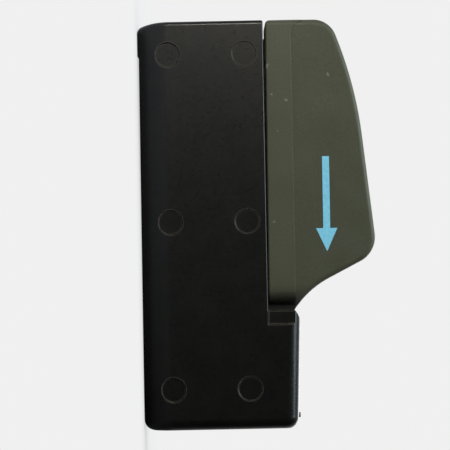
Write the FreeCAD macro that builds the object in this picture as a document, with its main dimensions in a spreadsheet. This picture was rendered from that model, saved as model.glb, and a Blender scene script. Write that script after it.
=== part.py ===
import FreeCAD, Part
import math
import os
import types

import Sketcher

# Jam cleat with kick-up release, for ropes of 4 to 6 mm.
# A moulded housing is screwed down on a deck or a rudder head. A toothed aluminium cleat closes it like a lid
# and turns on a pin at the load end. A leaf spring at the tail holds the cleat down until the rope pulls
# harder than the spring allows, and then the cleat tips over and lets the rope go.
#
# Frame, in millimetres: X along the rope, with the load end at +X and the free tail at -X, Y across,
# Z up from the mounting face. The origin is the middle of the mounting face.

SIZES = {
    # Housing, side view
    "housing_length": (88.0, "tail face to load face"),
    "housing_width": (26.0, "side face to side face"),
    "rim_height": (27.2, "top of the trough walls"),
    "wall": (3.0, "side walls and floor of the trough"),
    "root": (0.5, "how far ribs and bosses reach into what carries them"),
    "keel_round": (6.3, "rounding of the long bottom edges"),
    "keel_dip": (0.03, "how far that rounding aims below the flat, so that it meets it at an edge"),
    "toe_height": (3.88, "corner where the tail face starts to curve under"),
    "toe_reach": (1.16, "how far the toe runs in under the tail"),
    "toe_sweep": (19.0, "radius of the tail face's lower curve"),
    "toe_round": (1.5, "radius where the toe meets the foot"),
    "foot_end": (7.0, "tail face to the end of the tail foot"),
    "foot_relief": (0.33, "how high the underside lies clear behind the foot"),
    "foot_step": (0.3, "length of the step behind the foot"),
    "relief_end": (8.0, "load face to where the underside is flat again"),
    "block_length": (25.6, "load face to the inner face of the end block"),
    "block_height": (34.12, "end block at its inner corner"),
    "block_front_height": (33.3, "end block at the load face"),
    "block_lead": (1.28, "slope at the inner corner of the block"),
    "block_round": (4.0, "rounding of the inner corner, about the pivot"),
    "block_side_round": (2.8, "rounding of the block's long top edges"),
    "end_round": (2.3, "rounding round the load face"),
    "tail_round": (0.8, "rounding round the tail face"),
    "rim_round": (0.4, "broken edge along the rims"),
    # Housing, inside
    "tail_wall": (3.0, "thickness of the tail wall"),
    "slot_width": (20.0, "gap between the pivot ears"),
    "slot_length": (11.2, "inner face of the block to the end of the slot"),
    "slot_floor": (25.6, "height of the slot's floor"),
    "slot_corner": (1.5, "corner radius at the end of the slot"),
    "groove_round": (3.6, "half width of the rope groove in the block"),
    "groove_bend": (3.5, "radius of the groove's floor"),
    "groove_floor": (30.3, "lowest line of the rope groove"),
    "groove_flare": (1.2, "rounded lip where the rope leaves the groove"),
    "stop_in": (37.5, "tail face to the middle of the stop rib"),
    "stop_thickness": (2.5, "thickness of the stop rib"),
    "stop_gap": (0.05, "play between the stop rib and the cleat's keel"),
    "relief_length": (2.9, "shallow relief outside the ears, along X"),
    "relief_bottom": (27.4, "lower edge of that relief"),
    "relief_depth": (0.6, "depth of that relief"),
    # Fixing holes
    "tail_hole_in": (25.0, "tail face to the fixing hole in the trough"),
    "load_hole_in": (8.0, "load face to the fixing hole in the end block"),
    "fixing_hole": (2.6, "radius of the fixing holes"),
    "fixing_boss": (6.5, "radius of the boss round the tail fixing hole"),
    "fixing_boss_height": (5.4, "top of that boss"),
    "fixing_sink": (4.9, "radius of the countersink"),
    "fixing_well": (5.0, "radius of the well over the load fixing hole"),
    "fixing_well_floor": (8.0, "floor of that well"),
    # Marks of the moulding
    "ejector_round": (2.5, "radius of an ejector mark's floor"),
    "ejector_depth": (0.3, "depth of the ejector marks in the upper line"),
    "ejector_low_depth": (0.7, "depth of those in the lower line, where the side rounds off"),
    "ejector_tail": (7.1, "tail face to the first row of ejector marks"),
    "ejector_load": (8.8, "load face to the last row"),
    "ejector_low": (6.5, "height of the lower line"),
    "ejector_high": (23.05, "height of the upper line"),
    "ejector_slope": (35.0, "slope of the marks' rims, degrees from upright"),
    "ejector_low_slope": (20.0, "the same in the lower line"),
    "relief_slope": (25.0, "slope of the relief's steps, degrees from upright"),
    "ear_edge": (0.3, "broken edge at the inner corner of the ears"),
    "vestige_place": (2.7, "load face to the gate vestige"),
    "vestige_side": (-7.4, "gate vestige, across"),
    "vestige_round": (0.55, "radius of the vestige"),
    "vestige_height": (0.5, "how far the vestige stands up"),
    # Pivot
    "pivot_inset": (2.9, "inner face of the block to the pivot axis"),
    "pivot_z": (30.0, "pivot axis above the mounting face"),
    "pin_round": (2.0, "radius of the pivot pin"),
    "pin_skin": (1.8, "wall left at the blind end of the pin bore"),
    "pin_inset": (0.9, "how deep the pin's outer end lies"),
    "pin_chamfer": (0.3, "chamfer on the pin's ends"),
    "pin_play": (0.06, "radial play of the cleat on the pin"),
    "hub_round": (3.8, "radius of the cleat's hub"),
    "hub_play": (0.3, "gap between the hub and each ear"),
    # Cleat, side view
    "flange_back": (4.2, "pivot axis to the front of the base flange"),
    "tail_gap": (0.48, "gap over the rim at the tail"),
    "front_gap": (0.14, "gap over the rim near the pivot"),
    "tip_back": (2.8, "pivot axis to the tip of the cheeks"),
    "tip_z": (32.9, "tip of the cheeks, up"),
    "throat_back": (7.55, "pivot axis to the corner behind the throat's curve"),
    "throat_z": (36.74, "corner behind the throat's curve, up"),
    "throat_round": (20.0, "radius of the throat"),
    "brow_back": (14.85, "pivot axis to the corner over the brow"),
    "brow_z": (51.07, "corner over the brow, up"),
    "brow_round": (5.9, "radius of the brow"),
    "crest_in": (14.1, "tail end to the corner over the crest"),
    "crest_z": (46.99, "corner over the crest, up"),
    "crest_run": (11.03, "how far the crest's curve reaches from that corner"),
    "tail_corner_z": (41.59, "corner over the cleat's tail"),
    "tail_corner_round": (5.1, "radius of the upper tail corner"),
    "crease_z": (33.1, "top of the base flange"),
    # Cleat, across
    "flange_half": (12.4, "half width of the base flange"),
    "flange_corner": (2.6, "rounding of the flange's front corners"),
    "flange_tail_round": (1.0, "rounding of its tail corners"),
    "flange_under_round": (0.4, "rounding of its lower edges"),
    "cheek_half_tail": (12.0, "half width over the cheeks at the tail"),
    "cheek_half_tip": (9.55, "half width over the cheeks at the tip"),
    "cheek_lean": (2.5, "how far the cheeks lean in, degrees"),
    "panel_corner": (3.0, "corner radius of the cheek's panel at the tail"),
    "panel_inset": (0.9, "corner of the panel, in from the end face"),
    "panel_rise": (2.4, "how high that corner has risen at the end face"),
    "rim_soft": (1.1, "rounding along the top of the cheeks"),
    # Rope channel
    "channel_floor": (35.0, "floor of the rope channel"),
    "channel_tip_half": (2.2, "half width of the floor at the tip"),
    "channel_tail_half": (4.4, "half width of the floor at the tail"),
    "channel_flare": (14.5, "slope of the channel's walls, degrees from upright"),
    "channel_round": (1.2, "radius along the channel's floor"),
    "tooth_count": (15, "teeth on each cheek"),
    "tooth_pitch": (3.7, "between teeth, along the channel"),
    "tooth_base": (2.1, "thickness of a tooth at its root"),
    "tooth_height": (0.7, "how far a tooth stands out"),
    "tooth_flank": (38.0, "slope of the tooth's flanks, degrees"),
    "tooth_slant": (52.0, "slant of the teeth, degrees from the floor"),
    "tooth_back": (7.0, "tip of the cheeks to the foot of the nearest tooth"),
    "tooth_lift": (0.4, "how far up the wall the teeth start"),
    # Keel and catch under the cleat
    "keel_thickness": (6.0, "thickness of the keel"),
    "keel_bottom": (22.0, "lower edge of the keel"),
    "keel_back": (4.6, "pivot axis to the front of the keel at its root"),
    "keel_rake": (8.7, "how far its front edge slopes back"),
    "tongue_play": (0.6, "trough's tail wall to the end of the keel's tongue"),
    "tongue_bottom": (25.2, "lower edge of that tongue"),
    "arm_gap": (4.0, "leaf spring to the catch arm"),
    "arm_thickness": (3.5, "catch arm, along X"),
    "arm_bottom": (13.5, "lower end of the catch arm"),
    "lip_reach": (2.2, "how far the catch lip stands out"),
    "lip_low": (15.3, "lower edge of the lip's tip"),
    "lip_high": (17.0, "upper edge of the lip's tip"),
    "lip_root": (19.4, "where the lip's slope meets the arm"),
    # Latch spring
    "leaf_thickness": (0.5, "spring strip"),
    "leaf_width": (9.0, "spring strip, across"),
    "leaf_in": (6.5, "tail face to the tail side of the upright"),
    "leaf_foot": (9.7, "length of the foot"),
    "leaf_seat": (5.0, "height of the boss under the foot"),
    "leaf_bend": (1.2, "outer radius of the bends"),
    "bead_reach": (2.1, "how far the bead stands forward"),
    "bead_low": (15.85, "foot of the bead"),
    "bead_rise": (2.75, "foot of the bead to its tip, and on to its top"),
    "bead_round": (0.9, "rounding of the bead, on its hollow side"),
    "leaf_top": (23.5, "upper end of the leaf"),
    "screw_in": (6.3, "tail side of the leaf to the axis of its screw"),
    "screw_boss": (4.5, "half length of the boss under the foot"),
    "screw_round": (1.45, "radius of the screw's shank"),
    "screw_length": (4.0, "length of the shank under the head"),
    "screw_head": (2.8, "radius of the head"),
    "screw_head_height": (1.8, "height of the head"),
    "screw_hole_play": (0.15, "radial play in the leaf's hole"),
    "recess_width": (0.7, "arms of the cross in the head"),
    "recess_length": (3.2, "the cross, end to end"),
    "recess_depth": (1.0, "depth of the cross"),
    # Release adjuster
    "adjuster_z": (11.0, "height of the adjusting screw"),
    "adjuster_round": (2.0, "radius of the adjusting screw"),
    "adjuster_hole_play": (0.2, "radial play in the tail wall"),
    "adjuster_inset": (0.4, "how deep its outer end lies"),
    "adjuster_gap": (0.05, "gap between its tip and the leaf"),
    "nut_across": (7.0, "nut, across its flats"),
    "nut_thickness": (2.2, "nut"),
    "nut_play": (0.05, "play round the nut"),
    "nut_boss": (11.0, "width of the boss that holds the nut"),
    "nut_cover": (2.0, "how far the boss stands in from the tail wall"),
    "socket_across": (2.0, "hexagon socket, across its flats"),
    "socket_depth": (1.8, "depth of that socket"),
}


class Size:
    """A length that knows its number and the sheet formula it comes from."""

    def __init__(self, number, formula):
        self.number = float(number)
        self.formula = formula

    def joined(self, other, sign, number):
        return Size(number, f"({self.formula} {sign} {as_size(other).formula})")

    def __add__(self, other):
        return self.joined(other, "+", self.number + as_size(other).number)

    def __sub__(self, other):
        return self.joined(other, "-", self.number - as_size(other).number)

    def __mul__(self, other):
        return self.joined(other, "*", self.number * as_size(other).number)

    def __truediv__(self, other):
        return self.joined(other, "/", self.number / as_size(other).number)

    def __neg__(self):
        return as_size(0) - self


def as_size(value):
    return value if isinstance(value, Size) else Size(value, repr(value))


def square_root(size):
    return Size(math.sqrt(size.number), f"sqrt({size.formula})")


def tangent(angle):
    """The tangent of an angle given in degrees."""
    return Size(math.tan(math.radians(angle.number)), f"tan({angle.formula} * 1 deg)")


doc = FreeCAD.newDocument("jam_cleat")
sheet = doc.addObject("Spreadsheet::Sheet", "sizes")
for row, (name, (value, meaning)) in enumerate(SIZES.items(), start=1):
    sheet.set(f"A{row}", name)
    sheet.set(f"B{row}", str(value))
    sheet.set(f"C{row}", meaning)
    sheet.setAlias(f"B{row}", name)
doc.recompute()
s = types.SimpleNamespace(**{name: Size(value, f"sizes.{name}") for name, (value, _) in SIZES.items()})

# Places that several pieces share
LOAD_FACE = s.housing_length / 2
TAIL_FACE = -LOAD_FACE
SIDE_FACE = s.housing_width / 2
BLOCK_FACE = LOAD_FACE - s.block_length
TROUGH_TAIL = TAIL_FACE + s.tail_wall
TROUGH_HALF = SIDE_FACE - s.wall
PIVOT_X = BLOCK_FACE + s.pivot_inset
HUB_HALF = s.slot_width / 2 - s.hub_play
PIN_END = s.pin_skin - SIDE_FACE
FLANGE_FRONT = PIVOT_X - s.flange_back
TIP_X = PIVOT_X - s.tip_back
TAIL_HOLE_X = TAIL_FACE + s.tail_hole_in
LOAD_HOLE_X = LOAD_FACE - s.load_hole_in
STOP_X = TAIL_FACE + s.stop_in
LEAF_BACK = TAIL_FACE + s.leaf_in
SCREW_X = LEAF_BACK + s.screw_in
ARM_FRONT = LEAF_BACK + s.arm_gap
NUT_MOUTH = TROUGH_TAIL + s.nut_cover
CLEAR = as_size(5)


def bind(thing, prop, size):
    """Ties one property of an object to the sheet."""
    thing.setExpression(prop, as_size(size).formula)


def new_body(name):
    body = doc.addObject("PartDesign::Body", name)
    body.Label = name
    return body


def new_sketch(body, name, plane, lift=None):
    """A sketch on one of the body's own planes, raised along its normal by lift."""
    sketch = body.newObject("Sketcher::SketchObject", name)
    support = [item for item in body.Origin.OriginFeatures if item.Role == plane + "_Plane"]
    sketch.AttachmentSupport = [(support[0], "")]
    sketch.MapMode = "FlatFace"
    if lift is not None:
        bind(sketch, "AttachmentOffset.Base.z", lift)
    return sketch


def pin_point(sketch, geometry, point, x, y):
    """Fixes a point of the sketch at x, y from the sketch's origin."""
    for kind, size in (("DistanceX", x), ("DistanceY", y)):
        size = as_size(size)
        number = sketch.addConstraint(Sketcher.Constraint(kind, -1, 1, geometry, point, size.number))
        bind(sketch, f"Constraints[{number}]", size)


def draw_circle(sketch, x, y, radius):
    x, y, radius = as_size(x), as_size(y), as_size(radius)
    centre = FreeCAD.Vector(x.number, y.number, 0)
    circle = Part.Circle(centre, FreeCAD.Vector(0, 0, 1), radius.number)
    index = sketch.addGeometry(circle, False)
    number = sketch.addConstraint(Sketcher.Constraint("Radius", index, radius.number))
    bind(sketch, f"Constraints[{number}]", radius)
    pin_point(sketch, index, 3, x, y)


def corner_arc(before, here, after, radius):
    """The arc that rounds a corner, with the two points where it meets the corner's sides."""
    to_before = (before - here).normalize()
    to_after = (after - here).normalize()
    half = to_before.getAngle(to_after) / 2
    arrive = here + to_before * (radius / math.tan(half))
    leave = here + to_after * (radius / math.tan(half))
    centre = here + (to_before + to_after).normalize() * (radius / math.sin(half))
    turns_left = to_before.cross(to_after).z < 0
    first, last = (arrive, leave) if turns_left else (leave, arrive)
    angles = [math.atan2(point.y - centre.y, point.x - centre.x) for point in (first, last)]
    circle = Part.Circle(centre, FreeCAD.Vector(0, 0, 1), radius)
    return Part.ArcOfCircle(circle, *angles), arrive, leave, turns_left


def draw_loop(sketch, corners):
    """Draws a closed loop of straight sides through corners of x, y and, where one is rounded, its radius."""
    corners = [tuple(as_size(value) for value in corner) for corner in corners]
    points = [FreeCAD.Vector(corner[0].number, corner[1].number, 0) for corner in corners]
    count = len(corners)
    arcs = {}
    arrivals, departures = list(points), list(points)
    for index, corner in enumerate(corners):
        if len(corner) == 3:
            before, after = points[index - 1], points[(index + 1) % count]
            arc, arrive, leave, turns_left = corner_arc(before, points[index], after, corner[2].number)
            arcs[index] = (arc, turns_left)
            arrivals[index], departures[index] = arrive, leave
    sides = []
    for index in range(count):
        side = Part.LineSegment(departures[index], arrivals[(index + 1) % count])
        sides.append(sketch.addGeometry(side, False))
    for index, corner in enumerate(corners):
        before, after = sides[index - 1], sides[index]
        if index not in arcs:
            sketch.addConstraint(Sketcher.Constraint("Coincident", before, 2, after, 1))
            pin_point(sketch, after, 1, corner[0], corner[1])
            continue
        arc, turns_left = arcs[index]
        arc = sketch.addGeometry(arc, False)
        start, end = (1, 2) if turns_left else (2, 1)
        sketch.addConstraint(Sketcher.Constraint("Tangent", before, 2, arc, start))
        sketch.addConstraint(Sketcher.Constraint("Tangent", arc, end, after, 1))
        number = sketch.addConstraint(Sketcher.Constraint("Radius", arc, corner[2].number))
        bind(sketch, f"Constraints[{number}]", corner[2])
        mark = sketch.addGeometry(Part.Point(points[index]), True)
        sketch.addConstraint(Sketcher.Constraint("PointOnObject", mark, 1, before))
        sketch.addConstraint(Sketcher.Constraint("PointOnObject", mark, 1, after))
        pin_point(sketch, mark, 1, corner[0], corner[1])


def draw_rectangle(sketch, low_x, high_x, low_y, high_y, *radius):
    corners = [(low_x, low_y), (high_x, low_y), (high_x, high_y), (low_x, high_y)]
    draw_loop(sketch, [corner + radius for corner in corners])


def draw_hexagon(sketch, x, y, across):
    """A hexagon round x, y, with two flats upright."""
    half = as_size(across) / 2
    point = half / tangent(as_size(60)) * 2
    low, high = y - point / 2, y + point / 2
    draw_loop(sketch, [(x - half, low), (x, y - point), (x + half, low),
                       (x + half, high), (x, y + point), (x - half, high)])


def add_feature(body, kind, name, sketch, length=None, **settings):
    """A pad or pocket made from a sketch. Without a length it goes right through."""
    feature = body.newObject("PartDesign::" + kind, name)
    feature.Profile = sketch
    for prop, value in settings.items():
        setattr(feature, prop, value)
    if length is None:
        feature.Type = "ThroughAll"
    else:
        bind(feature, "Length", length)
    doc.recompute()
    return feature


def break_edges(body, kind, name, size, chosen):
    """Rounds or chamfers the edges of the body's last feature for which chosen says yes."""
    doc.recompute()
    base = body.Tip
    names = [f"Edge{number}" for number, edge in enumerate(base.Shape.Edges, start=1) if chosen(edge)]
    feature = body.newObject("PartDesign::" + kind, name)
    feature.Base = (base, names)
    bind(feature, "Radius" if kind == "Fillet" else "Size", size)
    doc.recompute()
    return feature


def round_edges(body, name, radius, chosen):
    return break_edges(body, "Fillet", name, radius, chosen)


def chamfer_edges(body, name, size, chosen):
    return break_edges(body, "Chamfer", name, size, chosen)


def near(value, size):
    return abs(value - as_size(size).number) < 0.02


def lies_along(edge, axis, size):
    """Whether the whole edge lies at one place on an axis."""
    box = edge.BoundBox
    return near(getattr(box, axis + "Min"), size) and near(getattr(box, axis + "Max"), size)


def mirror_across(body, name, original):
    """The same cut or pad on the other side of the middle plane."""
    mirror = body.newObject("PartDesign::Mirrored", name)
    mirror.Originals = [original]
    plane = [item for item in body.Origin.OriginFeatures if item.Role == "XZ_Plane"][0]
    mirror.MirrorPlane = (plane, [""])
    body.Tip = mirror
    doc.recompute()
    return mirror


def make_housing():
    """The black moulding: a trough with rounded bottom edges and a higher end block with the pivot ears."""
    body = new_body("housing")

    profile = new_sketch(body, "housing_profile", "XZ")
    draw_loop(profile, [
        (TAIL_FACE + s.toe_reach, 0, s.toe_round),
        (TAIL_FACE + s.foot_end, 0),
        (TAIL_FACE + s.foot_end + s.foot_step, s.foot_relief),
        (LOAD_FACE - s.relief_end, 0),
        (LOAD_FACE, 0),
        (LOAD_FACE, s.block_front_height),
        (BLOCK_FACE, s.block_height),
        (BLOCK_FACE, s.rim_height),
        (TAIL_FACE, s.rim_height),
        (TAIL_FACE, s.toe_height, s.toe_sweep),
    ])
    add_feature(body, "Pad", "housing_pad", profile, s.housing_width, SideType="Symmetric")

    # The long bottom edges are rounded off, the tail foot with them
    section = new_sketch(body, "housing_section", "YZ")
    over = s.block_height + CLEAR
    draw_rectangle(section, -SIDE_FACE - CLEAR, SIDE_FACE + CLEAR, -CLEAR, over + CLEAR)
    draw_loop(section, [(-SIDE_FACE, -s.keel_dip, s.keel_round), (SIDE_FACE, -s.keel_dip, s.keel_round),
                        (SIDE_FACE, over), (-SIDE_FACE, over)])
    add_feature(body, "Pocket", "housing_rounding", section, SideType="Symmetric")

    def block_top(edge):
        box = edge.BoundBox
        on_side = near(abs(edge.CenterOfMass.y), SIDE_FACE) and box.YLength < 0.02
        return on_side and box.ZMin > s.rim_height.number + 1 and box.XLength > 1

    round_edges(body, "block_side_rounding", s.block_side_round, block_top)
    round_edges(body, "load_face_rounding", s.end_round,
                lambda edge: lies_along(edge, "X", LOAD_FACE))
    round_edges(body, "tail_face_rounding", s.tail_round,
                lambda edge: lies_along(edge, "X", TAIL_FACE) and edge.BoundBox.YLength < 0.02)
    round_edges(body, "rim_rounding", s.rim_round,
                lambda edge: lies_along(edge, "Z", s.rim_height) and near(abs(edge.CenterOfMass.y), SIDE_FACE))

    # The block's inner corner is rounded about the pivot, so that the tipping cleat clears it
    corner = new_sketch(body, "block_corner", "XZ")
    fall = (s.block_height - s.block_front_height) / s.block_length
    past = s.block_lead + s.block_round
    draw_loop(corner, [
        (BLOCK_FACE - CLEAR, s.block_height - s.block_lead - CLEAR),
        (BLOCK_FACE + s.block_lead, s.block_height - fall * s.block_lead, s.block_round),
        (BLOCK_FACE + past, s.block_height - fall * past),
        (BLOCK_FACE + past, over),
        (BLOCK_FACE - CLEAR, over),
    ])
    add_feature(body, "Pocket", "block_corner_cut", corner, SideType="Symmetric")

    trough = new_sketch(body, "trough_section", "YZ", TROUGH_TAIL)
    inner = s.keel_round - s.wall
    draw_loop(trough, [(-TROUGH_HALF, s.wall, inner), (TROUGH_HALF, s.wall, inner),
                       (TROUGH_HALF, over), (-TROUGH_HALF, over)])
    add_feature(body, "Pocket", "trough", trough, BLOCK_FACE - TROUGH_TAIL, Reversed=True)

    slot = new_sketch(body, "slot_plan", "XY", s.slot_floor)
    slot_end = BLOCK_FACE + s.slot_length
    half = s.slot_width / 2
    draw_loop(slot, [(BLOCK_FACE - CLEAR, -half), (slot_end, -half, s.slot_corner),
                     (slot_end, half, s.slot_corner), (BLOCK_FACE - CLEAR, half)])
    add_feature(body, "Pocket", "pivot_slot", slot, Reversed=True)

    groove = new_sketch(body, "groove_section", "YZ", slot_end - s.slot_corner)
    r = s.groove_round
    bend = s.groove_bend
    draw_loop(groove, [(-r, s.groove_floor, bend), (r, s.groove_floor, bend), (r, over), (-r, over)])
    add_feature(body, "Pocket", "rope_groove", groove, Reversed=True)
    round_edges(body, "groove_lip", s.groove_flare,
                lambda edge: lies_along(edge, "X", LOAD_FACE) and abs(edge.CenterOfMass.y) < r.number
                and edge.BoundBox.ZMax > s.groove_floor.number - 1)

    # The stop rib carries the cleat's keel when the cleat is down
    floor = s.wall - s.root
    rib = new_sketch(body, "stop_rib_plan", "XY", floor)
    draw_rectangle(rib, STOP_X - s.stop_thickness / 2, STOP_X + s.stop_thickness / 2,
                   -TROUGH_HALF - s.root, TROUGH_HALF + s.root)
    add_feature(body, "Pad", "stop_rib", rib, s.keel_bottom - s.stop_gap - floor)

    # Bosses for the tail fixing screw, the spring's screw and the adjuster's nut
    boss = new_sketch(body, "fixing_boss_plan", "XY", floor)
    draw_circle(boss, TAIL_HOLE_X, 0, s.fixing_boss)
    add_feature(body, "Pad", "fixing_boss", boss, s.fixing_boss_height - floor)
    seat = new_sketch(body, "leaf_seat_plan", "XY", floor)
    draw_rectangle(seat, LEAF_BACK + s.leaf_bend, SCREW_X + s.screw_boss,
                   -s.leaf_width / 2, s.leaf_width / 2)
    add_feature(body, "Pad", "leaf_seat", seat, s.leaf_seat - floor)
    holder = new_sketch(body, "nut_holder_section", "YZ", TROUGH_TAIL - s.root)
    draw_rectangle(holder, -s.nut_boss / 2, s.nut_boss / 2, floor, s.adjuster_z + s.nut_boss / 2)
    add_feature(body, "Pad", "nut_holder", holder, s.root + s.nut_cover)

    # Holes: two for the deck screws, one for the spring's screw, one for the adjuster and its nut
    holes = new_sketch(body, "fixing_holes_plan", "XY")
    draw_circle(holes, TAIL_HOLE_X, 0, s.fixing_hole)
    draw_circle(holes, LOAD_HOLE_X, 0, s.fixing_hole)
    add_feature(body, "Pocket", "fixing_holes", holes, SideType="Symmetric")
    well = new_sketch(body, "fixing_well_plan", "XY", s.fixing_well_floor)
    draw_circle(well, LOAD_HOLE_X, 0, s.fixing_well)
    add_feature(body, "Pocket", "fixing_well", well, Reversed=True)
    chamfer_edges(body, "countersink", s.fixing_sink - s.fixing_hole,
                  lambda edge: lies_along(edge, "Z", s.fixing_boss_height)
                  and near(edge.BoundBox.XLength, s.fixing_hole * 2))
    pilot = new_sketch(body, "pilot_plan", "XY", s.leaf_seat + s.leaf_thickness - s.screw_length)
    draw_circle(pilot, SCREW_X, 0, s.screw_round)
    add_feature(body, "Pocket", "pilot_hole", pilot, s.screw_length, Reversed=True)
    way = new_sketch(body, "adjuster_section", "YZ", TAIL_FACE - CLEAR)
    draw_circle(way, 0, s.adjuster_z, s.adjuster_round + s.adjuster_hole_play)
    add_feature(body, "Pocket", "adjuster_hole", way, s.tail_wall + s.nut_cover + CLEAR * 2, Reversed=True)
    nut = new_sketch(body, "nut_pocket_section", "YZ", NUT_MOUTH - s.nut_thickness)
    reach = s.nut_across / 2 + s.nut_play
    draw_rectangle(nut, -reach, reach, s.adjuster_z - reach, s.adjuster_z + reach)
    add_feature(body, "Pocket", "nut_pocket", nut, s.nut_thickness + CLEAR / 2, Reversed=True)

    # The pin's bore enters from one side and stays blind on the other
    bore = new_sketch(body, "pin_bore_section", "XZ", -PIN_END)
    draw_circle(bore, PIVOT_X, s.pivot_z, s.pin_round)
    add_feature(body, "Pocket", "pin_bore", bore, s.housing_width + CLEAR)

    # A shallow relief outside the ears, and the marks of the moulding
    for name, side in (("near", 1), ("far", -1)):
        relief = new_sketch(body, f"ear_relief_{name}", "XZ", (SIDE_FACE - s.relief_depth) * side)
        draw_rectangle(relief, BLOCK_FACE - CLEAR, BLOCK_FACE + s.relief_length, s.relief_bottom, over)
        cut = add_feature(body, "Pocket", f"ear_relief_cut_{name}", relief, CLEAR, Reversed=side > 0,
                          TaperAngle=s.relief_slope.number)
        bind(cut, "TaperAngle", s.relief_slope)
    chamfer_edges(body, "ear_edges", s.ear_edge,
                  lambda edge: lies_along(edge, "X", BLOCK_FACE)
                  and near(abs(edge.CenterOfMass.y), SIDE_FACE - s.relief_depth))
    rows = (TAIL_FACE + s.ejector_tail, (s.ejector_tail - s.ejector_load) / 2, LOAD_FACE - s.ejector_load)
    for name, height, depth, slope in (("upper", s.ejector_high, s.ejector_depth, s.ejector_slope),
                                       ("lower", s.ejector_low, s.ejector_low_depth, s.ejector_low_slope)):
        marks = new_sketch(body, f"ejector_marks_{name}", "XZ", SIDE_FACE - depth)
        for place in rows:
            draw_circle(marks, place, height, s.ejector_round)
        cut = add_feature(body, "Pocket", f"ejector_mark_cuts_{name}", marks, depth + s.root, Reversed=True,
                          TaperAngle=slope.number)
        bind(cut, "TaperAngle", slope)
    vestige = new_sketch(body, "gate_vestige_plan", "XY", s.block_front_height - 1)
    draw_circle(vestige, LOAD_FACE - s.vestige_place, s.vestige_side, s.vestige_round)
    add_feature(body, "Pad", "gate_vestige", vestige, s.vestige_height + 1)
    return body


def tilted_sketch(body, name, point, along, normal):
    """A sketch whose own X runs along a direction and whose own Z is the normal."""
    sketch = new_sketch(body, name, "XY")
    upward = normal.cross(along)
    turn = FreeCAD.Rotation(along, upward, normal, "XZY")
    sketch.AttachmentOffset = FreeCAD.Placement(point, turn)
    return sketch


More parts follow.
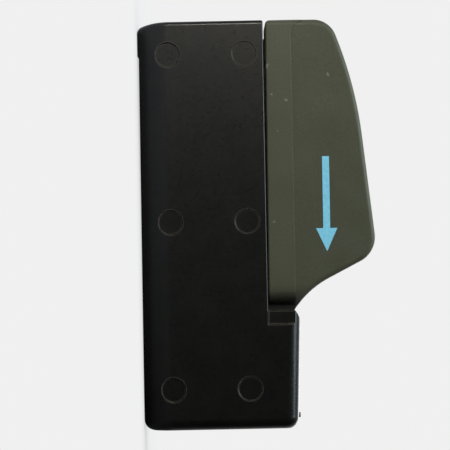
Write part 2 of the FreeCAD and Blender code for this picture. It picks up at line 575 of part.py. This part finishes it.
def make_cleat():
    """The aluminium cleat: a base flange, two cheeks that close in towards the tip, and a toothed channel."""
    body = new_body("cleat")
    top = s.brow_z + CLEAR
    front = TIP_X + CLEAR
    back = TAIL_FACE - CLEAR

    blank = new_sketch(body, "blank_side", "XZ")
    draw_rectangle(blank, back, front, s.rim_height, top)
    add_feature(body, "Pad", "blank", blank, s.flange_half * 2, SideType="Symmetric")

    # The rope channel narrows towards the pivot and widens upwards
    sections = []
    narrowing = (s.channel_tail_half - s.channel_tip_half) / (TIP_X - TAIL_FACE)
    flare = tangent(s.channel_flare)
    for name, place in (("tail", back - CLEAR), ("front", front + CLEAR)):
        foot = s.channel_tip_half + narrowing * (TIP_X - place)
        head = foot + flare * (top + CLEAR - s.channel_floor)
        sketch = new_sketch(body, f"channel_section_{name}", "YZ", place)
        draw_loop(sketch, [(-foot, s.channel_floor), (foot, s.channel_floor),
                           (head, top + CLEAR), (-head, top + CLEAR)])
        sections.append(sketch)
    channel = body.newObject("PartDesign::SubtractiveLoft", "channel")
    channel.Profile = sections[0]
    channel.Sections = [sections[1]]
    channel.Ruled = True
    doc.recompute()
    round_edges(body, "channel_floor_rounding", s.channel_round,
                lambda edge: lies_along(edge, "Z", s.channel_floor) and edge.Length > 60)

    # Teeth stand out of both walls and slant down towards the load
    wall_along = FreeCAD.Vector(1, -narrowing.number, 0).normalize()
    wall_up = FreeCAD.Vector(0, flare.number, 1)
    wall_normal = wall_along.cross(wall_up).normalize()
    foot = FreeCAD.Vector(TIP_X.number, s.channel_tip_half.number, s.channel_floor.number)
    tooth = tilted_sketch(body, "tooth_outline", foot, wall_along, wall_normal)
    lift = s.tooth_lift
    rise = (s.brow_z - s.channel_floor) + CLEAR / 2
    run = rise / tangent(s.tooth_slant)
    thick = s.tooth_base
    begin = -s.tooth_back
    draw_loop(tooth, [(begin, lift), (begin + thick, lift), (begin + thick - run, lift + rise),
                      (begin - run, lift + rise)])
    first = add_feature(body, "Pad", "tooth", tooth, s.tooth_height, TaperAngle=-s.tooth_flank.number)
    bind(first, "TaperAngle", -s.tooth_flank)
    teeth = body.newObject("PartDesign::MultiTransform", "teeth")
    row = body.newObject("PartDesign::LinearPattern", "tooth_row")
    row.Direction = (tooth, ["H_Axis"])
    row.Reversed = True
    row.Mode = "Spacing"
    bind(row, "Offset", s.tooth_pitch)
    bind(row, "Occurrences", s.tooth_count)
    sides = body.newObject("PartDesign::Mirrored", "tooth_sides")
    middle = [item for item in body.Origin.OriginFeatures if item.Role == "XZ_Plane"][0]
    sides.MirrorPlane = (middle, [""])
    teeth.Originals = [first]
    teeth.Transformations = [row, sides]
    body.Tip = teeth
    doc.recompute()

    # The cheeks' outer faces close in towards the tip and lean in a little. The flange stays proud of them.
    length = TIP_X - TAIL_FACE
    closing = (s.cheek_half_tail - s.cheek_half_tip) / length
    lean = tangent(s.cheek_lean)
    along = FreeCAD.Vector(1, closing.number, 0).normalize()
    outward = along.cross(FreeCAD.Vector(0, lean.number, 1)).normalize()
    foot = FreeCAD.Vector(TIP_X.number, -s.cheek_half_tip.number, s.crease_z.number)
    panel = tilted_sketch(body, "cheek_panel", foot, along, outward)
    reach = length * square_root(closing * closing + 1)
    rise = top - s.crease_z + CLEAR
    draw_rectangle(panel, -reach - CLEAR, CLEAR * 2, 0, rise)
    near_panel = add_feature(body, "Pocket", "near_cheek", panel, CLEAR * 2, Reversed=True)
    mirror_across(body, "far_cheek", near_panel)

    notch = new_sketch(body, "front_notch_plan", "XY", s.rim_height - CLEAR)
    draw_rectangle(notch, FLANGE_FRONT, front + CLEAR, -s.flange_half - CLEAR, -HUB_HALF)
    near_notch = add_feature(body, "Pocket", "near_notch", notch, Reversed=True)
    mirror_across(body, "far_notch", near_notch)

    # The crest's radius follows from the slopes on either side of its corner and the reach of its curve
    crest_x, brow_x = TAIL_FACE + s.crest_in, PIVOT_X - s.brow_back
    behind = (s.crest_z - s.tail_corner_z) / s.crest_in
    ahead = (s.brow_z - s.crest_z) / (brow_x - crest_x)
    turn = (behind - ahead) / (behind * ahead + 1)
    crest_round = s.crest_run * (square_root(turn * turn + 1) + 1) / turn
    outline = new_sketch(body, "cleat_outline", "XZ")
    draw_rectangle(outline, back - CLEAR * 3, front + CLEAR, s.rim_height - CLEAR, top + CLEAR)
    draw_loop(outline, [
        (TAIL_FACE, s.rim_height + s.tail_gap),
        (FLANGE_FRONT, s.rim_height + s.front_gap),
        (TIP_X, s.tip_z),
        (PIVOT_X - s.throat_back, s.throat_z, s.throat_round),
        (brow_x, s.brow_z, s.brow_round),
        (crest_x, s.crest_z, crest_round),
        (TAIL_FACE, s.tail_corner_z, s.tail_corner_round),
    ])
    add_feature(body, "Pocket", "outline_trim", outline, SideType="Symmetric")
    round_edges(body, "flange_corners", s.flange_corner,
                lambda edge: lies_along(edge, "X", FLANGE_FRONT) and near(abs(edge.CenterOfMass.y), s.flange_half))
    round_edges(body, "flange_lower_edges", s.flange_under_round,
                lambda edge: edge.BoundBox.ZMax < s.rim_height.number + s.tail_gap.number + 0.02
                and edge.BoundBox.XLength > 50 and near(abs(edge.CenterOfMass.y), s.flange_half))

    # The hub turns on the pin, and a nose joins it to the flange
    hub = new_sketch(body, "hub_outline", "XZ")
    draw_circle(hub, PIVOT_X, s.pivot_z, s.hub_round)
    add_feature(body, "Pad", "hub", hub, HUB_HALF * 2, SideType="Symmetric")
    nose = new_sketch(body, "nose_outline", "XZ")
    nose_back = FLANGE_FRONT - CLEAR
    draw_loop(nose, [(nose_back, s.rim_height + s.front_gap), (PIVOT_X, s.pivot_z - s.hub_round),
                     (PIVOT_X, s.pivot_z), (TIP_X, s.tip_z - s.root / 4), (nose_back, s.tip_z)])
    add_feature(body, "Pad", "nose", nose, HUB_HALF * 2, SideType="Symmetric")
    bore = new_sketch(body, "hub_bore", "XZ")
    draw_circle(bore, PIVOT_X, s.pivot_z, s.pin_round + s.pin_play)
    add_feature(body, "Pocket", "hub_bore_cut", bore, SideType="Symmetric")

    # The keel rests on the stop rib, and the catch arm reaches down to the leaf spring
    keel = new_sketch(body, "keel_outline", "XZ")
    inside = s.rim_height + s.tail_gap + s.root
    keel_front = PIVOT_X - s.keel_back
    tongue_end = TROUGH_TAIL + s.tongue_play
    draw_loop(keel, [
        (keel_front, inside),
        (tongue_end, inside),
        (tongue_end, s.tongue_bottom),
        (ARM_FRONT, s.tongue_bottom),
        (ARM_FRONT, s.lip_root),
        (ARM_FRONT - s.lip_reach, s.lip_high),
        (ARM_FRONT - s.lip_reach, s.lip_low),
        (ARM_FRONT, s.arm_bottom),
        (ARM_FRONT + s.arm_thickness, s.arm_bottom),
        (ARM_FRONT + s.arm_thickness, s.keel_bottom),
        (keel_front - s.keel_rake, s.keel_bottom),
    ])
    add_feature(body, "Pad", "keel", keel, s.keel_thickness, SideType="Symmetric")

    def along_cheek_top(edge):
        """The outer edges that run up the tail and over the crest, the brow and the throat."""
        middle = edge.valueAt((edge.FirstParameter + edge.LastParameter) / 2)
        offset = FreeCAD.Vector(middle.x, -abs(middle.y), middle.z) - foot
        return abs(offset.dot(outward)) < 0.01 and middle.z > s.crease_z.number + 0.5

    round_edges(body, "cheek_top_rounding", s.rim_soft, along_cheek_top)

    # At the tail the proud flange runs up into the end face with a rounded corner
    web = new_sketch(body, "panel_corner_side", "XZ", s.flange_half)
    web_end = TAIL_FACE + s.panel_inset + s.panel_corner
    draw_loop(web, [
        (TAIL_FACE, s.crease_z - s.root),
        (web_end, s.crease_z - s.root),
        (web_end, s.crease_z),
        (TAIL_FACE + s.panel_inset, s.crease_z, s.panel_corner),
        (TAIL_FACE, s.crease_z + s.panel_rise),
    ])
    near_web = add_feature(body, "Pad", "near_panel_corner", web,
                           s.flange_half - s.cheek_half_tail + s.rim_soft + s.root, Reversed=True)
    mirror_across(body, "far_panel_corner", near_web)
    round_edges(body, "flange_tail_corners", s.flange_tail_round,
                lambda edge: lies_along(edge, "X", TAIL_FACE) and near(abs(edge.CenterOfMass.y), s.flange_half))
    return body


def make_pivot_pin():
    """A stainless pin, pushed in from one side."""
    body = new_body("pivot_pin")
    circle = new_sketch(body, "pin_circle", "XZ", -PIN_END)
    draw_circle(circle, PIVOT_X, s.pivot_z, s.pin_round)
    add_feature(body, "Pad", "pin_length", circle, SIDE_FACE - s.pin_inset - PIN_END, Reversed=True)
    chamfer_edges(body, "pin_chamfers", s.pin_chamfer, lambda edge: edge.BoundBox.YLength < 1)
    return body


def make_latch_spring():
    """A bent strip of spring steel: a foot under its screw, an upright, and a bead over the catch lip."""
    body = new_body("latch_spring")
    strip = new_sketch(body, "strip_outline", "XZ")
    t = s.leaf_thickness
    back, front = LEAF_BACK, LEAF_BACK + t
    steep = s.bead_reach / s.bead_rise
    slant = square_root(steep * steep + 1)
    shift = t * (slant - 1) / steep
    tip, high = s.bead_low + s.bead_rise, s.bead_low + s.bead_rise * 2
    hollow, crown = s.bead_round, s.bead_round + t
    draw_loop(strip, [
        (LEAF_BACK + s.leaf_foot, s.leaf_seat),
        (back, s.leaf_seat, s.leaf_bend),
        (back, s.bead_low, crown),
        (back + s.bead_reach, tip, hollow),
        (back, high, crown),
        (back, s.leaf_top),
        (front, s.leaf_top),
        (front, high + shift, hollow),
        (back + s.bead_reach + t * slant, tip, crown),
        (front, s.bead_low - shift, hollow),
        (front, s.leaf_seat + t, s.leaf_bend - t),
        (LEAF_BACK + s.leaf_foot, s.leaf_seat + t),
    ])
    add_feature(body, "Pad", "strip", strip, s.leaf_width, SideType="Symmetric")
    hole = new_sketch(body, "screw_hole", "XY", s.leaf_seat - s.leaf_thickness)
    draw_circle(hole, SCREW_X, 0, s.screw_round + s.screw_hole_play)
    add_feature(body, "Pocket", "screw_hole_cut", hole, s.leaf_thickness * 3, Reversed=True)
    return body


def make_spring_screw():
    """The self-tapping screw through the spring's foot. Its thread is left plain."""
    body = new_body("spring_screw")
    seat = s.leaf_seat + s.leaf_thickness
    shank = new_sketch(body, "shank_circle", "XY", seat - s.screw_length)
    draw_circle(shank, SCREW_X, 0, s.screw_round)
    add_feature(body, "Pad", "shank", shank, s.screw_length)
    head = new_sketch(body, "head_circle", "XY", seat)
    draw_circle(head, SCREW_X, 0, s.screw_head)
    add_feature(body, "Pad", "head", head, s.screw_head_height)
    round_edges(body, "head_rounding", s.screw_head_height * 0.5,
                lambda edge: near(edge.BoundBox.ZMin, seat + s.screw_head_height))
    cross = new_sketch(body, "cross_recess", "XY", seat + s.screw_head_height - s.recess_depth)
    arm, half = s.recess_length / 2, s.recess_width / 2
    place = SCREW_X
    draw_loop(cross, [
        (place - arm, -half), (place - half, -half), (place - half, -arm), (place + half, -arm),
        (place + half, -half), (place + arm, -half), (place + arm, half), (place + half, half),
        (place + half, arm), (place - half, arm), (place - half, half), (place - arm, half),
    ])
    add_feature(body, "Pocket", "cross_recess_cut", cross, CLEAR, Reversed=True)
    return body


def make_adjust_screw():
    """The grub screw that presses on the leaf, with a hexagon socket at its outer end."""
    body = new_body("adjust_screw")
    outer = TAIL_FACE + s.adjuster_inset
    circle = new_sketch(body, "grub_circle", "YZ", outer)
    draw_circle(circle, 0, s.adjuster_z, s.adjuster_round)
    add_feature(body, "Pad", "grub", circle, LEAF_BACK - s.adjuster_gap - outer)
    socket = new_sketch(body, "socket_outline", "YZ", outer - s.root)
    draw_hexagon(socket, as_size(0), s.adjuster_z, s.socket_across)
    add_feature(body, "Pocket", "socket", socket, s.root + s.socket_depth, Reversed=True)
    return body


def make_adjust_nut():
    """The square nut for the grub screw, caught in its pocket in the tail wall."""
    body = new_body("adjust_nut")
    square = new_sketch(body, "nut_outline", "YZ", NUT_MOUTH - s.nut_thickness)
    half = s.nut_across / 2
    draw_rectangle(square, -half, half, s.adjuster_z - half, s.adjuster_z + half)
    draw_circle(square, 0, s.adjuster_z, s.adjuster_round)
    add_feature(body, "Pad", "nut", square, s.nut_thickness)
    return body


bodies = [make_housing(), make_cleat(), make_pivot_pin(), make_latch_spring(), make_spring_screw(),
          make_adjust_screw(), make_adjust_nut()]
doc.recompute()
for item in doc.Objects:
    if "Invalid" in item.State or "Error" in item.State:
        raise RuntimeError(f"{item.Name} failed: {item.State}")
for body in bodies:
    shape = body.Shape
    if shape.isNull() or not shape.isValid() or len(shape.Solids) != 1:
        raise RuntimeError(f"{body.Label} is not one sound solid")
os.makedirs("parts", exist_ok=True)
for body in bodies:
    body.Shape.exportStep(f"parts/{body.Label}.step")
    print(f"{body.Label}: {body.Shape.Volume:.1f} cubic millimetres")
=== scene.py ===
import math

import bmesh
import bpy
from mathutils import Matrix, Vector


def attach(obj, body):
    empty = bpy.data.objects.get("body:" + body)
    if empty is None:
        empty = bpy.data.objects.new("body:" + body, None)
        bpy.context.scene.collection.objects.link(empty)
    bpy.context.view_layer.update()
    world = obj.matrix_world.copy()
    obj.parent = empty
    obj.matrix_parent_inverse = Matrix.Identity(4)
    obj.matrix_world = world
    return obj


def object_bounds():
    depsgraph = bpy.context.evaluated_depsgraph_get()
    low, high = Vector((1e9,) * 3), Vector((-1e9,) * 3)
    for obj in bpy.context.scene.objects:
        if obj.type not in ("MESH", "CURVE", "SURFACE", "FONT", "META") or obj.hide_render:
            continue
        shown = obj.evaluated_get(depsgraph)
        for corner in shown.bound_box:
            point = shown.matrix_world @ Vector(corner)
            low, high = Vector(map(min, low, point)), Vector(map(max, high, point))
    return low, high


# Jam cleat with kick-up release, seen from the side: a black moulded housing and an olive-grey aluminium cleat.
# Metres, in the CAD frame: X along the rope with the free tail at -X, Y across, Z up from the mounting face.

MM = 0.001
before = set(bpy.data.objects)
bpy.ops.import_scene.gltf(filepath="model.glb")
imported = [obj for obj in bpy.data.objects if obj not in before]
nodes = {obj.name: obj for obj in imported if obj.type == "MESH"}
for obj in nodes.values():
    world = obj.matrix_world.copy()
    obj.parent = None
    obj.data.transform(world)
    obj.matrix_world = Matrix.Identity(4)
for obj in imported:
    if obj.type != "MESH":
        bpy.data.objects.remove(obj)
cad_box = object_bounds()


def linear(code):
    """A hex sRGB colour as the linear colour that a shader wants."""
    values = [int(code[place:place + 2], 16) / 255 for place in (1, 3, 5)]
    return tuple(v / 12.92 if v <= 0.04045 else ((v + 0.055) / 1.055) ** 2.4 for v in values) + (1.0,)


def add(tree, kind, links=(), **settings):
    """Adds a node, with values for its sockets or properties, and (socket, source) pairs as links."""
    node = tree.nodes.new(kind)
    for name, value in settings.items():
        if hasattr(node, name):
            setattr(node, name, value)
        else:
            node.inputs[name.replace("_", " ")].default_value = value
    for socket, source in links:
        tree.links.new(source, node.inputs[socket])
    return node


def new_material(name):
    """An empty material with its output, and object coordinates in millimetres."""
    material = bpy.data.materials.new(name)
    material.use_nodes = True
    tree = material.node_tree
    tree.nodes.clear()
    output = add(tree, "ShaderNodeOutputMaterial")
    place = add(tree, "ShaderNodeTexCoord").outputs["Object"]
    millimetres = add(tree, "ShaderNodeMapping", [("Vector", place)])
    millimetres.inputs["Scale"].default_value = (1 / MM,) * 3
    return material, tree, output, millimetres.outputs["Vector"]


def noise(tree, vector, size, detail=3.0, roughness=0.55):
    """A noise pattern whose features are about size millimetres across."""
    return add(tree, "ShaderNodeTexNoise", [("Vector", vector)], Scale=1 / size, Detail=detail,
               Roughness=roughness).outputs["Fac"]


def spread(tree, value, low, high, to_low, to_high):
    """Maps a pattern's range onto another one."""
    node = add(tree, "ShaderNodeMapRange", [("Value", value)])
    for name, number in (("From Min", low), ("From Max", high), ("To Min", to_low), ("To Max", to_high)):
        node.inputs[name].default_value = number
    return node.outputs["Result"]


def blend_colours(tree, factor, first, second):
    """The first colour where the factor is 0, and the second where it is 1. Each is a colour or a socket."""
    node = tree.nodes.new("ShaderNodeMix")
    node.data_type = "RGBA"
    tree.links.new(factor, node.inputs["Factor"])
    for name, colour in (("A", first), ("B", second)):
        socket = [item for item in node.inputs if item.name == name and item.type == "RGBA"][0]
        if isinstance(colour, tuple):
            socket.default_value = colour
        else:
            tree.links.new(colour, socket)
    return [item for item in node.outputs if item.type == "RGBA"][0]


def edge_wear_and_highlight(tree, reach, amount):
    """How far a place is lightened, partly as rubbing and partly as a painted highlight, from 0 to amount, within
    reach millimetres of an edge.
    """
    softened = add(tree, "ShaderNodeBevel", Radius=reach * MM).outputs["Normal"]
    true = add(tree, "ShaderNodeNewGeometry").outputs["Normal"]
    agreement = add(tree, "ShaderNodeVectorMath", [(0, softened), (1, true)], operation="DOT_PRODUCT")
    return spread(tree, agreement.outputs["Value"], 0.99, 0.82, 0.0, amount)


def black_nylon():
    """Glass-filled nylon, moulded in a spark-eroded tool: near black, satin, finely grained and a little mottled,
    with edges a lighter grey, partly polished by handling and partly a painted highlight."""
    material, tree, output, place = new_material("black_glass_filled_nylon")
    cloud = noise(tree, place, 5.0, 4.0)
    mottle = spread(tree, cloud, 0.35, 0.68, 0.0, 1.0)
    colour = blend_colours(tree, mottle, linear("#050504"), linear("#0c0b08"))
    # Edges lightened towards a pale grey: partly polish from handling, partly a painted highlight
    colour = blend_colours(tree, edge_wear_and_highlight(tree, 0.3, 0.9), colour, linear("#57534a"))
    # The real grain is about 0.1 mm. It is drawn at 0.35 mm, so that it shows at this size.
    grain = noise(tree, place, 0.35, 2.0)
    rough = spread(tree, noise(tree, place, 0.8, 2.0), 0.3, 0.7, 0.27, 0.31)
    bump = add(tree, "ShaderNodeBump", [("Height", grain)], Strength=0.4, Distance=0.03 * MM)
    shader = add(tree, "ShaderNodeBsdfPrincipled",
                 [("Base Color", colour), ("Roughness", rough), ("Normal", bump.outputs["Normal"])], IOR=1.53)
    tree.links.new(shader.outputs["BSDF"], output.inputs["Surface"])
    return material


def hard_anodised():
    """Hard anodised cast aluminium: a thick olive-grey oxide layer, matt, with a bead-blasted grain under it.
    The sharp edges are paler, partly rubbed oxide and partly a painted highlight, and a few pale flecks stand on
    the faces."""
    material, tree, output, place = new_material("hard_anodised_aluminium")
    cloud = spread(tree, noise(tree, place, 9.0, 3.0), 0.3, 0.7, 0.0, 1.0)
    colour = blend_colours(tree, cloud, linear("#484a37"), linear("#4e5040"))
    # The blasted grain is about 0.15 mm. It is drawn at 0.4 mm, so that it shows at this size.
    grain = noise(tree, place, 0.4, 3.0)
    speckle = spread(tree, grain, 0.35, 0.65, 0.0, 0.4)
    colour = blend_colours(tree, speckle, colour, linear("#393a2b"))
    fleck = spread(tree, noise(tree, place, 1.3, 0.0), 0.86, 0.89, 0.0, 0.4)
    colour = blend_colours(tree, fleck, colour, linear("#8b8e84"))
    # Sharp edges paler: partly rubbed oxide, partly a painted highlight
    colour = blend_colours(tree, edge_wear_and_highlight(tree, 0.2, 0.55), colour, linear("#7d8076"))
    # Painted shade: the flanks of the nose, beside the pivot, are darkened nearly to black, standing in for the
    # shade where the surface curves in beside the housing
    spot = add(tree, "ShaderNodeSeparateXYZ", [(0, place)])
    sideways = add(tree, "ShaderNodeMath", [(0, spot.outputs["Y"])], operation="ABSOLUTE").outputs[0]
    near_pivot = spread(tree, spot.outputs["X"], 13.0, 17.0, 0.0, 0.95)
    low_down = spread(tree, spot.outputs["Z"], 33.0, 37.0, 1.0, 0.25)
    outside = spread(tree, sideways, 8.0, 9.0, 0.0, 1.0)
    low_flank = add(tree, "ShaderNodeMath", [(0, low_down), (1, outside)], operation="MULTIPLY").outputs[0]
    painted_nose_shade = add(tree, "ShaderNodeMath", [(0, near_pivot), (1, low_flank)], operation="MULTIPLY").outputs[0]
    colour = blend_colours(tree, painted_nose_shade, colour, linear("#080807"))
    rough = spread(tree, noise(tree, place, 2.2, 3.0), 0.3, 0.7, 0.46, 0.58)
    bump = add(tree, "ShaderNodeBump", [("Height", grain)], Strength=0.2, Distance=0.04 * MM)
    shader = add(tree, "ShaderNodeBsdfPrincipled",
                 [("Base Color", colour), ("Roughness", rough), ("Normal", bump.outputs["Normal"])], Metallic=0.3)
    tree.links.new(shader.outputs["BSDF"], output.inputs["Surface"])
    return material


def turned_stainless():
    """Stainless steel, turned and passivated: bright, with fine rings left by the tool."""
    material, tree, output, place = new_material("turned_stainless_steel")
    rings = noise(tree, place, 0.25, 2.0)
    rough = spread(tree, rings, 0.3, 0.7, 0.22, 0.36)
    colour = blend_colours(tree, noise(tree, place, 1.5), linear("#b9b8b4"), linear("#cfcfcb"))
    bump = add(tree, "ShaderNodeBump", [("Height", rings)], Strength=0.15, Distance=0.02 * MM)
    shader = add(tree, "ShaderNodeBsdfPrincipled",
                 [("Base Color", colour), ("Roughness", rough), ("Normal", bump.outputs["Normal"])], Metallic=1.0)
    tree.links.new(shader.outputs["BSDF"], output.inputs["Surface"])
    return material


def rolled_spring_steel():
    """Stainless spring strip, cold rolled: smooth, with fine lines along the rolling direction."""
    material, tree, output, place = new_material("rolled_spring_steel")
    stretched = add(tree, "ShaderNodeMapping", [("Vector", place)])
    stretched.inputs["Scale"].default_value = (0.2, 6.0, 0.2)
    lines = noise(tree, stretched.outputs["Vector"], 1.0, 3.0)
    rough = spread(tree, lines, 0.3, 0.7, 0.2, 0.34)
    colour = blend_colours(tree, lines, linear("#aeaeac"), linear("#c6c6c3"))
    shader = add(tree, "ShaderNodeBsdfPrincipled", [("Base Color", colour), ("Roughness", rough)], Metallic=1.0)
    tree.links.new(shader.outputs["BSDF"], output.inputs["Surface"])
    return material


def pad_print_ink():
    """Two-part pad printing ink on anodised aluminium: light blue, flat, thin enough to let the grain through."""
    material, tree, output, place = new_material("light_blue_pad_print")
    worn = spread(tree, noise(tree, place, 0.5, 3.0), 0.3, 0.7, 0.0, 1.0)
    colour = blend_colours(tree, worn, linear("#66b3cd"), linear("#7cc6dd"))
    bump = add(tree, "ShaderNodeBump", [("Height", noise(tree, place, 0.4))], Strength=0.2, Distance=0.02 * MM)
    shader = add(tree, "ShaderNodeBsdfPrincipled", [("Base Color", colour), ("Normal", bump.outputs["Normal"])],
                 Roughness=0.5)
    tree.links.new(shader.outputs["BSDF"], output.inputs["Surface"])
    return material


finishes = {
    "housing": black_nylon(),
    "cleat": hard_anodised(),
    "pivot_pin": turned_stainless(),
    "latch_spring": rolled_spring_steel(),
}
for name in ("spring_screw", "adjust_screw", "adjust_nut"):
    finishes[name] = finishes["pivot_pin"]
for name, material in finishes.items():
    mesh = nodes[name].data
    mesh.materials.clear()
    mesh.materials.append(material)

# A plain arrow printed on each cheek shows which way the rope pulls
TIP_HALF = 9.55
TAIL_HALF = 12.0
CHEEK_LENGTH = 62.5
CHEEK_TIP = Vector((18.5, TIP_HALF, 33.1)) * MM
CHEEK_CLOSING = (TAIL_HALF - TIP_HALF) / CHEEK_LENGTH
CHEEK_LEAN = math.tan(math.radians(2.5))
INK = 0.03 * MM    # how far the print stands out
SINK = 0.02 * MM   # and how far it goes in, so that no gap shows


def cheek_half(x, z):
    """Half width over the cheeks at a place in side view, in metres."""
    return CHEEK_TIP.y + (CHEEK_TIP.x - x) * CHEEK_CLOSING - (z - CHEEK_TIP.z) * CHEEK_LEAN


def make_arrow(name, side):
    """A flat arrow on one cheek, pointing towards the load, as a thin layer of ink."""
    tail, head_start, tip = -14.5, 1.0, 6.0
    shaft, head, middle = 0.75, 2.3, 40.2
    outline = [(tail, -shaft), (head_start, -shaft), (head_start, -head), (tip, 0), (head_start, head),
               (head_start, shaft), (tail, shaft)]
    mesh = bmesh.new()
    layers = []
    for height in (-SINK, INK):
        ring = []
        for along, across in outline:
            x, z = along * MM, (middle + across) * MM
            ring.append(mesh.verts.new((x, side * (cheek_half(x, z) + height), z)))
        layers.append(ring)
    bottom, top = layers
    mesh.faces.new(top)
    mesh.faces.new(list(reversed(bottom)))
    for here in range(len(outline)):
        after = (here + 1) % len(outline)
        mesh.faces.new((bottom[here], bottom[after], top[after], top[here]))
    bmesh.ops.recalc_face_normals(mesh, faces=mesh.faces)
    data = bpy.data.meshes.new(name)
    mesh.to_mesh(data)
    mesh.free()
    arrow = bpy.data.objects.new(name, data)
    bpy.context.scene.collection.objects.link(arrow)
    data.materials.append(ink)
    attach(arrow, "cleat")


ink = pad_print_ink()
make_arrow("direction_arrow_near", -1)
make_arrow("direction_arrow_far", 1)

# Pale floor. Seen by the camera it glows at the backdrop's level, and near the object it keeps the shadow.
# The light that it throws back comes mostly from behind the tail, as from a floor lit at that end only.
BACKDROP = linear("#f0f0f0")
FLOOR_RADIUS = 1.5
bpy.ops.mesh.primitive_circle_add(vertices=64, radius=FLOOR_RADIUS, fill_type="NGON",
                                  location=(0, 0, cad_box[0][2]))
floor = bpy.context.object
floor.name = "floor"
floor_paint, tree, output, place = new_material("pale_studio_floor")
from_middle = add(tree, "ShaderNodeVectorMath", [("Vector", place)], operation="LENGTH").outputs["Value"]
spot = add(tree, "ShaderNodeSeparateXYZ", [(0, place)])
near_object = spread(tree, from_middle, 50.0, 160.0, 0.3, 0.0)
past_front = spread(tree, spot.outputs["Y"], -45.0, -20.0, 0.0, 1.0)
shadowed = add(tree, "ShaderNodeMath", [(0, near_object), (1, past_front)], operation="MULTIPLY").outputs[0]
plain = add(tree, "ShaderNodeBsdfDiffuse", Color=linear("#bcbcbc"))
glow = add(tree, "ShaderNodeEmission", Color=BACKDROP)
shown = add(tree, "ShaderNodeMixShader", [(0, shadowed), (1, glow.outputs[0]), (2, plain.outputs[0])])
towards_load = spread(tree, spot.outputs["X"], -70.0, 50.0, 0.7, 0.08)
towards_back = spread(tree, spot.outputs["Y"], -70.0, 30.0, 0.15, 1.0)
thrown_back = add(tree, "ShaderNodeMath", [(0, towards_load), (1, towards_back)], operation="MULTIPLY")
dimmed = add(tree, "ShaderNodeBsdfDiffuse", [("Color", thrown_back.outputs[0])])
rays = add(tree, "ShaderNodeLightPath")
either = add(tree, "ShaderNodeMixShader",
             [(0, rays.outputs["Is Camera Ray"]), (1, dimmed.outputs[0]), (2, shown.outputs[0])])
tree.links.new(either.outputs[0], output.inputs["Surface"])
floor.data.materials.append(floor_paint)

# World: the backdrop for the camera, and a room for the light that is brighter towards the tail.
# Gloss shows the backdrop behind the object, and a dark room at the sides and in front.
world = bpy.data.worlds.new("studio")
bpy.context.scene.world = world
world.use_nodes = True
tree = world.node_tree
tree.nodes.clear()
rays = add(tree, "ShaderNodeLightPath")
direction = add(tree, "ShaderNodeSeparateXYZ", [(0, add(tree, "ShaderNodeTexCoord").outputs["Generated"])])
from_tail = spread(tree, direction.outputs["X"], -0.75, 0.75, 2.15, 0.1)
room = add(tree, "ShaderNodeBackground", [("Strength", from_tail)], Color=(0.97, 0.98, 1.0, 1.0))
seen = add(tree, "ShaderNodeBackground", Color=BACKDROP, Strength=1.0)
mirrored = spread(tree, direction.outputs["Y"], 0.0, 0.9, 0.02, 1.0)
in_gloss = add(tree, "ShaderNodeBackground", [("Strength", mirrored)], Color=BACKDROP)
surroundings = room
for ray, view in (("Is Glossy Ray", in_gloss), ("Is Camera Ray", seen), ("Is Transmission Ray", seen)):
    surroundings = add(tree, "ShaderNodeMixShader",
                       [(0, rays.outputs[ray]), (1, surroundings.outputs[0]), (2, view.outputs[0])])
add(tree, "ShaderNodeOutputWorld", [("Surface", surroundings.outputs[0])])


def add_softbox(name, place, aim, size, power, colour):
    """A square lamp at a place, turned towards what it lights."""
    lamp = bpy.data.lights.new(name, "AREA")
    lamp.shape = "SQUARE"
    lamp.size = size
    lamp.energy = power
    lamp.color = colour
    holder = bpy.data.objects.new(name, lamp)
    holder.location = place
    holder.rotation_euler = (Vector(aim) - Vector(place)).to_track_quat("-Z", "Y").to_euler()
    holder.visible_camera = False
    bpy.context.scene.collection.objects.link(holder)


add_softbox("tail_softbox", (-0.13, -0.25, 0.04), (-0.03, 0, 0.02), 0.06, 0.195, (1.0, 0.98, 0.87))
add_softbox("top_softbox", (-0.1, -0.12, 0.5), (-0.01, 0, 0.03), 0.3, 1.6, (0.75, 0.9, 1.0))
add_softbox("back_softbox", (0.15, 0.6, 0.35), (0, 0, 0.02), 0.4, 1.6, (1.0, 1.0, 1.0))

# The camera looks across the object and is turned so that the tail points up, as in the photograph
PIXEL = 0.2149 * MM
FRAME = 450
DISTANCE = 0.7
NEAR_FACE = -13 * MM
AIM_X = -0.09 * MM
AIM_Z = 18.25 * MM
TILT = 0.0201
SENSOR = 36.0
right = Vector((TILT, 0, 1)).normalized()
up = Vector((-1, 0, TILT)).normalized()
camera_data = bpy.data.cameras.new("camera")
camera_data.sensor_width = SENSOR
camera_data.lens = SENSOR * DISTANCE / (FRAME * PIXEL)
camera = bpy.data.objects.new("camera", camera_data)
turn = Matrix((right, up, -Vector((0, 1, 0)))).transposed()
camera.matrix_world = Matrix.Translation((AIM_X, NEAR_FACE - DISTANCE, AIM_Z)) @ turn.to_4x4()
bpy.context.scene.collection.objects.link(camera)
bpy.context.scene.camera = camera
bpy.context.scene.view_settings.view_transform = "Standard"
